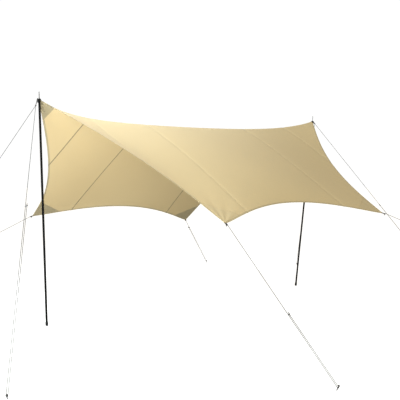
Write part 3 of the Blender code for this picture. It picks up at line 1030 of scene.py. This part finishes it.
# %% Set the sizes of the straps and say where the poles and pegs stand
WEBBING_THICKNESS = 0.0014
LAYER = 0.00078
STRAP_HEIGHT = 0.0043
LOW_STRAP_OUT = 0.037
EYELET_OUT = 0.026
GAP = 0.0003
LOW_TUCKED_ROWS = (0.030, 0.022, 0.014)
TOP_TUCKED_ROWS = (0.042, 0.035, 0.028)
# Each row outside the cloth: how far out it lies, and its share of the strap's height
LOW_OUTER_ROWS = ((-0.003, 0.2), (0.006, 0.7), (0.014, 1), (0.024, 1), (0.033, 1))
POLES = {
    "near": (Vector((-2.194, 0, 0)), Vector((-2.264, 0, 2.383))),
    "far": (Vector((1.901, 0, 0)), Vector((2.264, 0, 2.383))),
}
STRAP_TAIL = {"near": 0.035, "far": 0.058}
PEG_HOLD = 0.028
# Each guy line's peg on the ground, and how far down the line its runner is
TOP_GUYS = {
    "near": {"front": (Vector((-3.70, -2.00, 0)), 1.47), "back": (Vector((-3.10, 1.75, 0)), 1.40)},
    "far": {"front": (Vector((3.57, -1.325, 0)), 1.54), "back": (Vector((3.691, 1.45, 0)), 1.50)},
}
LOW_GUYS = {
    "near_front": (Vector((-1.816, -3.465, 0)), 1.26),
    "far_front": (Vector((3.15, -3.70, 0)), 1.60),
    "near_back": (Vector((-2.42, 3.694, 0)), 0.90),
    "far_back": (Vector((2.808, 2.852, 0)), 0.32),
}


def pole_frame(which):
    """A pole's top, its axis, and the direction away from the sheet."""
    foot, top = POLES[which]
    axis = (top - foot).normalized()
    away = Vector((-1 if which == "near" else 1, 0, 0))
    return top, axis, (away - axis * away.dot(axis)).normalized()


def guy_frame(start, peg):
    """A guy line's direction, its sideways direction, and the lean of its peg."""
    direction = (peg + UP * PEG_HOLD - start).normalized()
    sideways = direction.cross(UP).normalized()
    return direction, sideways, sideways.cross(direction)


def low_strap_frame(corner):
    """A low strap's outward direction and the direction square to its face."""
    outward = guy_frame(LOW_CORNERS[corner], LOW_GUYS[corner][0])[0]
    s = 0.004 if corner.startswith("near") else 0.996
    t = -0.996 if corner.endswith("front") else 0.996
    normal = slope(s, t)[2]
    return outward, (normal - outward * normal.dot(outward)).normalized()


print("Poles:", ", ".join(POLES), "and pegs:", 2 * len(TOP_GUYS) + len(LOW_GUYS))

# %% Lay the rows of places for the low straps
ACROSS = (-1, -0.5, 0, 0.5, 1)


def fold_rows(end, outward, normal, sideways):
    """The rows of the half turn where the two layers meet."""
    rows = []
    for step in range(1, 6):
        angle = math.pi * step / 6
        place = end + (outward * math.sin(angle) - normal * math.cos(angle)) * LAYER
        rows.append([place + sideways * offset * WEBBING_WIDTH / 2 for offset in ACROSS])
    return rows


def two_layers(on_cloth, outside, fold):
    """Rows from the cloth out along the lower layer, round the fold and back along the upper layer."""
    lower = [row(-1) for row in on_cloth] + [row(-1) for row in outside]
    upper = [row(1) for row in outside[::-1]] + [row(1) for row in on_cloth[::-1]]
    return lower + fold + upper


def low_strap_rows(corner):
    """Rows for one low strap, each across the webbing."""
    here, into = CORNERS[corner], inward(corner)
    outward, normal = low_strap_frame(corner)
    side_in = normal.cross(-into).normalized()
    side_out = normal.cross(outward).normalized()
    half = WEBBING_WIDTH / 2

    def tucked_row(reach):
        places = [here + into * reach + side_in * offset * half for offset in ACROSS]
        return lambda side: [drape(place, LAYER * side - POCKET_RISE) for place in places]

    def outer_row(reach, height):
        middle = here + normal * STRAP_HEIGHT * height + outward * reach
        return lambda side: [middle + normal * LAYER * side + side_out * offset * half for offset in ACROSS]

    on_cloth = [tucked_row(reach) for reach in LOW_TUCKED_ROWS]
    outside = [outer_row(*pair) for pair in LOW_OUTER_ROWS]
    end = here + normal * STRAP_HEIGHT + outward * (LOW_STRAP_OUT - WEBBING_THICKNESS / 2 - LAYER)
    return two_layers(on_cloth, outside, fold_rows(end, outward, normal, side_out))


print("A low strap has", len(low_strap_rows("near_front")), "rows")

# %% Lay the rows of places for the top straps
BEND_OUT = 0.0108
BEND_RADIUS = 0.005
TOP_SLOPE = math.radians(36)


def top_strap_rows(which):
    """Rows for one top strap: under the cloth, over the spike and down outside the pole."""
    top, axis, away = pole_frame(which)
    corner = which + "_top"
    here, into = CORNERS[corner], inward(corner)
    sideways = Vector((0, 1, 0)) if which == "far" else Vector((0, -1, 0))
    seat = top + axis * (GAP + LAYER + WEBBING_THICKNESS / 2 + 0.00015)
    half = WEBBING_WIDTH / 2

    def tucked_row(reach):
        spread = sideways * math.cos(TOP_SLOPE) * half
        fall = UP * math.sin(TOP_SLOPE) * half
        places = [here + into * reach + spread * offset - fall * abs(offset) for offset in ACROSS]
        return lambda side: [drape(place, LAYER * side - POCKET_RISE) for place in places]

    def outer_row(middle, normal):
        return lambda side: [middle + normal * LAYER * side + sideways * offset * half for offset in ACROSS]

    on_cloth = [tucked_row(reach) for reach in TOP_TUCKED_ROWS]
    outside = [outer_row(seat + away * reach, axis) for reach in (-0.013, -0.006, 0.0, 0.006)]
    turn = seat + away * BEND_OUT - axis * BEND_RADIUS
    for step in range(5):
        normal = axis * math.cos(math.pi * step / 8) + away * math.sin(math.pi * step / 8)
        outside.append(outer_row(turn + normal * BEND_RADIUS, normal))
    hang = turn + away * BEND_RADIUS
    tail = STRAP_TAIL[which]
    outside += [outer_row(hang - axis * tail * part, away) for part in (0.3, 0.6, 0.9)]
    return two_layers(on_cloth, outside, fold_rows(hang - axis * tail * 0.93, -axis, away, sideways))


print("A top strap has", len(top_strap_rows("near")), "rows")


# %% Make the straps and their holes
BORE = 0.0052


def strap_piece(corner, rows, hole, normal):
    """One strap with its hole, thickened from its rows."""
    piece = lay_grid("corner_strap_" + corner, rows)
    apply_modifier(piece, "SUBSURF", levels=1, render_levels=1)
    apply_modifier(piece, "SOLIDIFY", thickness=WEBBING_THICKNESS, offset=0, use_even_offset=True)
    apply_modifier(piece, "BEVEL", width=0.0004, segments=2, limit_method="ANGLE")
    bore_hole(piece, hole, normal, BORE, 0.012)
    shade_smooth(piece)
    return piece


def eyelet(corner):
    """The middle of a low strap's eyelet."""
    outward, normal = low_strap_frame(corner)
    return LOW_CORNERS[corner] + normal * STRAP_HEIGHT + outward * EYELET_OUT


def seat(which):
    """Where a pole's spike goes through its strap."""
    top, axis, _ = pole_frame(which)
    return top + axis * (GAP + 0.002)


strap_rows = {corner: low_strap_rows(corner) for corner in LOW_CORNERS}
strap_rows.update({which + "_top": top_strap_rows(which) for which in POLES})
for corner in LOW_CORNERS:
    strap = strap_piece(corner, strap_rows[corner], eyelet(corner), low_strap_frame(corner)[1])
    finish_piece(strap, webbing, "black_webbing", "strap_" + corner)
for which in POLES:
    strap = strap_piece(which + "_top", strap_rows[which + "_top"], seat(which), pole_frame(which)[1])
    finish_piece(strap, webbing, "black_webbing", "strap_" + which + "_top")

# %% [markdown]
# ## Eyelets
#
# A pressed metal eyelet keeps each hole from fraying. It is a turned ring: a short barrel with a rounded
# flange on each face. On the top straps the lower flange is left out, because the pole is there.

# %% Turn the eyelets
BARREL = 0.0044
FLANGE = 0.0086
eyelet_profile = [
    (BARREL, -0.0021), (BARREL, 0.0021), (BARREL + 0.0006, 0.0027), (FLANGE - 0.0009, 0.0027),
    (FLANGE, 0.0022), (FLANGE, 0.0019), (BARREL + 0.0007, 0.0019), (BARREL + 0.0007, -0.0019),
    (FLANGE, -0.0019), (FLANGE, -0.0022), (FLANGE - 0.0009, -0.0027), (BARREL + 0.0006, -0.0027),
]
top_profile = [
    (BARREL, -0.0018), (BARREL, 0.0021), (BARREL + 0.0006, 0.0026), (FLANGE - 0.0020, 0.0026),
    (FLANGE - 0.0013, 0.0022), (FLANGE - 0.0013, 0.0019), (BARREL + 0.0006, 0.0019),
    (BARREL + 0.0006, -0.0018),
]
low_eyelet = spin_profile("low_eyelet", eyelet_profile, 28, closed=True)
top_eyelet = spin_profile("top_eyelet", top_profile, 28, closed=True)
eyelets = []
for corner in LOW_CORNERS:
    placing = frame_at(eyelet(corner), low_strap_frame(corner)[1])
    eyelets.append(copy_to(low_eyelet, "eyelet_" + corner, placing))
for which in POLES:
    placing = frame_at(seat(which), pole_frame(which)[1])
    eyelets.append(copy_to(top_eyelet, "eyelet_" + which, placing))
put_away(low_eyelet)
put_away(top_eyelet)
eyelet_rings = join_pieces("eyelets", eyelets)
finish_piece(eyelet_rings, dark_metal, "black_webbing")

# %% [markdown]
# ## Sewing on the straps
#
# Each tucked end is sewn through cloth, strap and patch with a box and a cross, which show over the
# cloth and under the patch. The two layers are closed beside the eyelet with a bar tack, placed by the
# rows that made the strap.


# %% Sew the straps
def strip_place(rows, along, across, height):
    """A place on a strip at a row number and a share of its width, at a height outside it."""
    i = min(int(along), len(rows) - 2)
    row = [first.lerp(second, along - i) for first, second in zip(rows[i], rows[i + 1])]
    steps = across * (len(row) - 1)
    j = min(int(steps), len(row) - 2)
    normal = (row[j + 1] - row[j]).cross(rows[i + 1][j] - rows[i][j]).normalized()
    return row[j].lerp(row[j + 1], steps - j) + normal * height


def strap_line(rows, points):
    """A line of places through (row, share) pairs on a strip."""
    found = []
    for (row_a, share_a), (row_b, share_b) in zip(points, points[1:]):
        for step in range(13):
            part = step / 12
            along, across = row_a + (row_b - row_a) * part, share_a + (share_b - share_a) * part
            found.append(strip_place(rows, along, across, WEBBING_THICKNESS / 2 + THREAD_OVER))
    return found


BOX_REACH = {"top": (0.029, 0.041), "low": (0.016, 0.028)}
BOX_HALF = 0.008
TACK_EDGES = (0.08, 0.92)


def fine_line(points, steps=8):
    """Places along straight runs from point to point."""
    found = []
    for first, second in zip(points, points[1:]):
        found += [first.lerp(second, step / steps) for step in range(steps + 1)]
    return found


def box_lines(corner):
    """The box and cross over a tucked end, before they are laid on the cloth."""
    here, into = CORNERS[corner], inward(corner)
    sideways = into.cross(UP).normalized() * BOX_HALF
    near, far = BOX_REACH[level(corner)]
    turns = ((near, -1), (far, -1), (far, 1), (near, 1))
    a, b, c, d = (here + into * reach + sideways * way for reach, way in turns)
    return [fine_line(points) for points in ([a, b, c, d, a], [a, c], [b, d])]


box_edges = []
for corner in CORNERS:
    for line in box_lines(corner):
        box_edges += both_sides(line, CLOTH_TOP, PATCH_UNDER + 2 * POCKET_RISE)
box_stitches = sew("box_stitching", box_edges, tan_stitching, tan_thread, "patch_fabric")

tack_lines = []
for rows in strap_rows.values():
    last = len(rows) - 1
    for tack in (4.2, last - 4.2):
        tack_lines.append(strap_line(rows, [(tack, share) for share in TACK_EDGES]))
sew("strap_stitching", tack_lines, dark_stitching, dark_thread, "black_webbing")

# %% [markdown]
# ## Poles
#
# Each pole is four steel tubes that push into each other, painted black, with a rubber foot and a spike.
# A tube is a lathe profile with rounded ends, a thin rolled groove over the joint, and a spring button
# that locks it. One tube is modelled and the others are copies of it.

# %% Model one pole section
POLE_RADIUS = 0.012
FOOT_RADIUS = 0.015
FOOT_HEIGHT = 0.045
POLE_SECTIONS = 4
SECTION_LENGTH = 0.585
GROOVE_UP = 0.030
GROOVE_DEPTH = 0.0006
BUTTON_UP = 0.050

section_profile = [(0, 0), (POLE_RADIUS - 0.0008, 0), (POLE_RADIUS, 0.0008)]
for rise_by, depth in ((-0.0016, 0), (-0.0008, 0.7), (0, 1), (0.0008, 0.7), (0.0016, 0)):
    section_profile.append((POLE_RADIUS - GROOVE_DEPTH * depth, GROOVE_UP + rise_by))
section_profile += [
    (POLE_RADIUS, SECTION_LENGTH - 0.0008), (POLE_RADIUS - 0.0008, SECTION_LENGTH), (0, SECTION_LENGTH)
]
section_tube = spin_profile("pole_section", section_profile, 40)

button_profile = [(0, -0.002), (0.0030, -0.002), (0.0030, 0.0006), (0.0022, 0.0013), (0, 0.0016)]
button = spin_profile("spring_button", button_profile, 20)
settle(button, frame_at(Vector((0, -POLE_RADIUS, BUTTON_UP)), Vector((0, -1, 0))))
section = join_pieces("pole_section", [section_tube, button])
print("A pole section has", len(section.data.polygons), "faces")

# %% Copy the sections into the two poles
for which, (foot, top) in POLES.items():
    axis = (top - foot).normalized()
    start = foot + axis * FOOT_HEIGHT
    length = (top - start).length / POLE_SECTIONS
    stretch = Matrix.Diagonal((1, 1, (length - GAP) / SECTION_LENGTH, 1))
    for number in range(POLE_SECTIONS):
        low = start + axis * (length * number + GAP)
        name = "pole_%s_tube_%d" % (which, number + 1)
        piece = copy_to(section, name, frame_at(low, axis, Vector((1, 0, 0))) @ stretch)
        finish_piece(piece, pole_paint, "black_painted_steel", "pole_%s_section_%d" % (which, number + 1))
put_away(section)

# %% [markdown]
# The rubber foot has three shallow grooves for grip and a slightly wider sole. The pole leans, so the
# foot is turned along the pole's axis, and its sole is cut level with the floor. The spike is a thin
# steel pin with a rounded tip.

# %% Turn the feet and the spikes
SPIKE_RADIUS = 0.004
SPIKE_LENGTH = 0.080

foot_profile = [(0, -0.02), (FOOT_RADIUS, -0.02), (FOOT_RADIUS, 0.006)]
for groove in (0.012, 0.020, 0.028):
    foot_profile += [
        (FOOT_RADIUS - 0.0002, groove - 0.0015), (FOOT_RADIUS - 0.0011, groove - 0.0006),
        (FOOT_RADIUS - 0.0011, groove + 0.0006), (FOOT_RADIUS - 0.0003, groove + 0.0015),
    ]
foot_profile += [
    (FOOT_RADIUS - 0.0004, 0.038), (FOOT_RADIUS - 0.0012, 0.043),
    (POLE_RADIUS, FOOT_HEIGHT), (0, FOOT_HEIGHT),
]
spike_profile = [(0, GAP), (SPIKE_RADIUS, GAP), (SPIKE_RADIUS, SPIKE_LENGTH - SPIKE_RADIUS)]
for angle in (25, 50, 72):
    turn = math.radians(angle)
    height = SPIKE_LENGTH - SPIKE_RADIUS * (1 - math.sin(turn))
    spike_profile.append((SPIKE_RADIUS * math.cos(turn), height))
spike_profile.append((0, SPIKE_LENGTH))
foot_model = spin_profile("foot", foot_profile, 36)
spike_model = spin_profile("spike", spike_profile, 20)
for which, (foot, top) in POLES.items():
    axis = (top - foot).normalized()
    shoe = copy_to(foot_model, "pole_%s_shoe" % which, frame_at(foot, axis))
    bisect(shoe, (0, 0, 0), (0, 0, 1), inner=True, fill=True)
    finish_piece(shoe, foot_rubber, "black_rubber", "pole_%s_foot" % which)
    pin = copy_to(spike_model, "pole_%s_pin" % which, frame_at(top, axis))
    finish_piece(pin, grey_steel, "steel", "pole_%s_spike" % which)
put_away(foot_model)
put_away(spike_model)

# %% [markdown]
# ## Guy lines
#
# A guy line is a braided cord. It leaves the corner, passes through one hole of its runner, goes round
# the peg, comes back through the runner's other hole and ends in a knot. The line is pulled tight, so it
# runs straight. Only its ends bend, and those bends are rounded.

# %% Set the sizes of the cords, runners and pegs
CORD_RADIUS = 0.0025
PEG_RADIUS = 0.004
TURN_RADIUS = PEG_RADIUS + CORD_RADIUS + GAP
RUNNER_SIZE = (0.030, 0.010, 0.004)
RUNNER_SPAN = 0.013
RUNNER_TILT = math.radians(30)
RUNNER_CLEAR = RUNNER_SPAN / 2 * math.tan(RUNNER_TILT) + RUNNER_SIZE[2]
END_KNOT_UP = 0.0040
END_TAIL = 0.020


def peg_hold(start, peg):
    """The point on a peg's axis that the cord goes round."""
    lean = guy_frame(start, peg)[2]
    return peg + lean * PEG_HOLD / lean.z


def runner_places(start, peg, distance):
    """Where the cord passes through the runner on its way down and on its way back."""
    sideways = guy_frame(start, peg)[1]
    tangent = peg_hold(start, peg) + sideways * TURN_RADIUS
    there = start + (tangent - start).normalized() * distance
    return there, there - sideways * RUNNER_SPAN


def plate_frame(start, peg):
    """The directions along a runner's plate and square to its face."""
    direction, sideways, lean = guy_frame(start, peg)
    long_way = sideways * math.cos(RUNNER_TILT) + direction * math.sin(RUNNER_TILT)
    return long_way, long_way.cross(lean)


def lower_leg(start, peg, distance):
    """The path from start, round the peg and back to the end above the runner, and its knot's place."""
    direction, sideways, lean = guy_frame(start, peg)
    hold = peg_hold(start, peg)
    turns = [math.pi * step / 16 for step in range(17)]
    places = [start]
    places += [hold + (sideways * math.cos(a) + direction * math.sin(a)) * TURN_RADIUS for a in turns]
    back = runner_places(start, peg, distance)[1]
    up = (back - places[-1]).normalized()
    knot = back + up * (RUNNER_CLEAR + END_KNOT_UP)
    places += [knot, knot + up * END_TAIL * 0.6 + lean * 0.001, knot + up * END_TAIL + lean * 0.005]
    return places, frame_at(knot, plate_frame(start, peg)[1])


print("The cord is", 2000 * CORD_RADIUS, "mm thick")

# %% [markdown]
# A stopper knot is an overhand knot, which is a trefoil pulled tight. Its path is a short formula, and
# the tube round it is closed on itself. It is modelled once in two sizes and copied to each end.


# %% Model the knots
def trefoil(name, unit, radius):
    """An overhand knot as a closed tube, flat along its own Z axis."""
    angles = [math.tau * step / 60 for step in range(61)]
    places = []
    for a in angles:
        x, y = math.sin(a) + 2 * math.sin(2 * a), math.cos(a) - 2 * math.cos(2 * a)
        places.append(Vector((x, y, -1.15 * math.sin(3 * a))) * unit)
    rings = rings_round(places, radius, 8)
    rings[-1] = rings[0]
    piece = close_shell(lay_grid(name, rings))
    shade_smooth(piece, 60)
    return piece


STOPPER_SIZE = (0.00185, 0.0023)
LOOP_KNOT_SIZE = (0.0022, 0.0026)
stopper = trefoil("stopper_knot", *STOPPER_SIZE)
loop_knot = trefoil("loop_knot", *LOOP_KNOT_SIZE)
print("The knots have", len(stopper.data.polygons), "faces each")

# %% Lay the low guy lines
LOW_TURN = ((0, 0.0025), (0.0014, 0.0046), (0.004, 0.0053))
UNDER_KNOT = 0.0076


def low_guy(corner):
    """One low guy line with its knots. Returns the piece and the start of its long run."""
    peg, distance = LOW_GUYS[corner]
    outward, normal = low_strap_frame(corner)
    hole = eyelet(corner)
    under = hole - normal * (UNDER_KNOT + 0.005)
    first = [under - UP * 0.012, under, hole - normal * 0.002]
    first += [hole + outward * out + normal * height for out, height in LOW_TURN]
    start = first.pop()
    places, end_knot = lower_leg(start, peg, distance)
    parts = [lay_tube("cord", round_bends(first + places, 0.0015), CORD_RADIUS)]
    parts.append(copy_to(stopper, "knot", frame_at(hole - normal * UNDER_KNOT, normal)))
    parts.append(copy_to(stopper, "knot", end_knot))
    return join_pieces("guy_line_" + corner, parts), start


runs = []
for corner in LOW_CORNERS:
    line, start = low_guy(corner)
    finish_piece(line, cord_braid, "pale_grey_cord", "guy_" + corner)
    runs.append((corner, start, *LOW_GUYS[corner]))

# %% [markdown]
# At each pole one cord is doubled. Its middle is a loop over the spike, closed by a knot, and its two
# halves run on to two pegs. The knot here is larger, because both halves go through it.

# %% Lay the top guy lines
TOP_KNOTS = {"near": (0.042, 0.066), "far": (0.056, 0.018)}
TOP_KNOT_RADIUS = 0.008
LOOP_START = 0.003
SPIKE_TURN_RADIUS = 0.0068
SPIKE_TURN_HEIGHT = 0.006
TOP_LOOP = ((0.021, 0.0055, 0.0), (0.016, SPIKE_TURN_RADIUS, 0.005))


def top_loop(which):
    """The loop over the spike, with its knot."""
    top, axis, away = pole_frame(which)
    face = top + axis * (GAP + 0.004)
    out, drop = TOP_KNOTS[which]
    knot = top + away * out - UP * drop
    side = Vector((0, 1, 0))
    half = [knot + side * LOOP_START]
    half += [face + away * out + side * aside + axis * up for out, aside, up in TOP_LOOP]
    turn = face + axis * SPIKE_TURN_HEIGHT
    angles = [math.pi * step / 12 for step in range(13)]
    around = [turn + (side * math.cos(a) - away * math.sin(a)) * SPIKE_TURN_RADIUS for a in angles]
    mirrored = [Vector((place.x, -place.y, place.z)) for place in reversed(half)]
    parts = [lay_tube("cord", round_bends(half + around + mirrored, 0.004), CORD_RADIUS)]
    parts.append(copy_to(loop_knot, "knot", frame_at(knot, side, axis)))
    parts.append(copy_to(loop_knot, "knot", frame_at(knot, away, side)))
    return join_pieces("top_loop_" + which, parts), knot


for which in POLES:
    line, knot = top_loop(which)
    finish_piece(line, cord_braid, "pale_grey_cord", "guy_%s_top" % which)
    for side, (peg, distance) in TOP_GUYS[which].items():
        name = "%s_top_%s" % (which, side)
        places, end_knot = lower_leg(knot, peg, distance)
        places[0] = knot + (places[1] - knot).normalized() * TOP_KNOT_RADIUS * 0.6
        leg = lay_tube("cord", round_bends(places, 0.0015), CORD_RADIUS)
        leg = join_pieces("guy_line_" + name, [leg, copy_to(stopper, "knot", end_knot)])
        finish_piece(leg, cord_braid, "pale_grey_cord", "guy_" + name)
        runs.append((name, knot, peg, distance))
put_away(stopper)
put_away(loop_knot)

# %% [markdown]
# ## Runners
#
# A runner is a small alloy plate with two holes. Tilted on the cord, it grips by friction and keeps the
# line tight. The plate starts as a cube at its real size. Its short edges are bevelled round, its holes
# are bored along the cord, and all its edges are softened.

# %% Model one runner and copy it to each line
RUNNER_HOLE = 0.0032

bpy.ops.object.select_all(action="DESELECT")
bpy.ops.mesh.primitive_cube_add(size=1)
runner_model = bpy.context.object
runner_model.name = "runner_model"
runner_model.scale = RUNNER_SIZE
bpy.ops.object.transform_apply(scale=True)
edit(runner_model)
bpy.ops.mesh.select_all(action="DESELECT")
leave_edit()
for edge in runner_model.data.edges:
    first, second = (runner_model.data.vertices[index].co for index in edge.vertices)
    edge.select = abs(first.z - second.z) > RUNNER_SIZE[2] / 2
bpy.ops.object.mode_set(mode="EDIT")
bpy.ops.mesh.bevel(offset=RUNNER_SIZE[1] * 0.45, segments=6)
leave_edit()
cord_way = Vector((math.sin(RUNNER_TILT), 0, -math.cos(RUNNER_TILT)))
hole_way = Vector((math.cos(RUNNER_TILT), 0, math.sin(RUNNER_TILT)))
for side in (-1, 1):
    bore_hole(runner_model, hole_way * side * RUNNER_SPAN / 2, cord_way, RUNNER_HOLE, 0.03)
apply_modifier(
    runner_model, "BEVEL", width=0.0005, segments=2, limit_method="ANGLE", angle_limit=math.radians(40)
)
shade_smooth(runner_model)

for name, start, peg, distance in runs:
    long_way, face_way = plate_frame(start, peg)
    holes = runner_places(start, peg, distance)
    plate = copy_to(runner_model, "slider_" + name, frame_at((holes[0] + holes[1]) / 2, face_way, long_way))
    finish_piece(plate, satin_alloy, "grey_alloy", "runner_" + name)
put_away(runner_model)

# %% [markdown]
# ## Pegs
#
# A forged steel peg has a round bar and a domed head for the hammer. Only the part that stands over the
# ground is made. It leans away from the pull, and it is cut level with the floor.

# %% Turn the pegs
PEG_BELOW = 0.020
PEG_TOP = 0.014
PEG_HEAD = (0.009, 0.006)

for name, start, peg, distance in runs:
    lean = guy_frame(start, peg)[2]
    foot = peg - lean * PEG_BELOW
    neck = (peg_hold(start, peg) + lean * PEG_TOP - foot).length
    radius, rise_by = PEG_HEAD
    profile = [(0, 0), (PEG_RADIUS, 0), (PEG_RADIUS, neck - 0.003), (PEG_RADIUS + 0.0006, neck - 0.001)]
    profile += [(radius - 0.002, neck + 0.0002), (radius - 0.0004, neck + 0.0008), (radius, neck + 0.002)]
    profile += [(radius, neck + rise_by - 0.0025), (radius - 0.0008, neck + rise_by - 0.001)]
    profile += [(PEG_RADIUS, neck + rise_by - 0.0001), (0, neck + rise_by)]
    stake = settle(spin_profile("stake_" + name, profile, 24), frame_at(foot, lean))
    bisect(stake, (0, 0, 0), (0, 0, 1), inner=True, fill=True)
    finish_piece(stake, peg_steel, "black_peg_steel", "peg_" + name)

# %% [markdown]
# ## Clearing up
#
# Two things hold the sheet up, the straps on the spikes and the straps on the low guy lines. The one
# stitch that every row of stitches was set from is taken away, as only its copies count.

put_away(stitch)
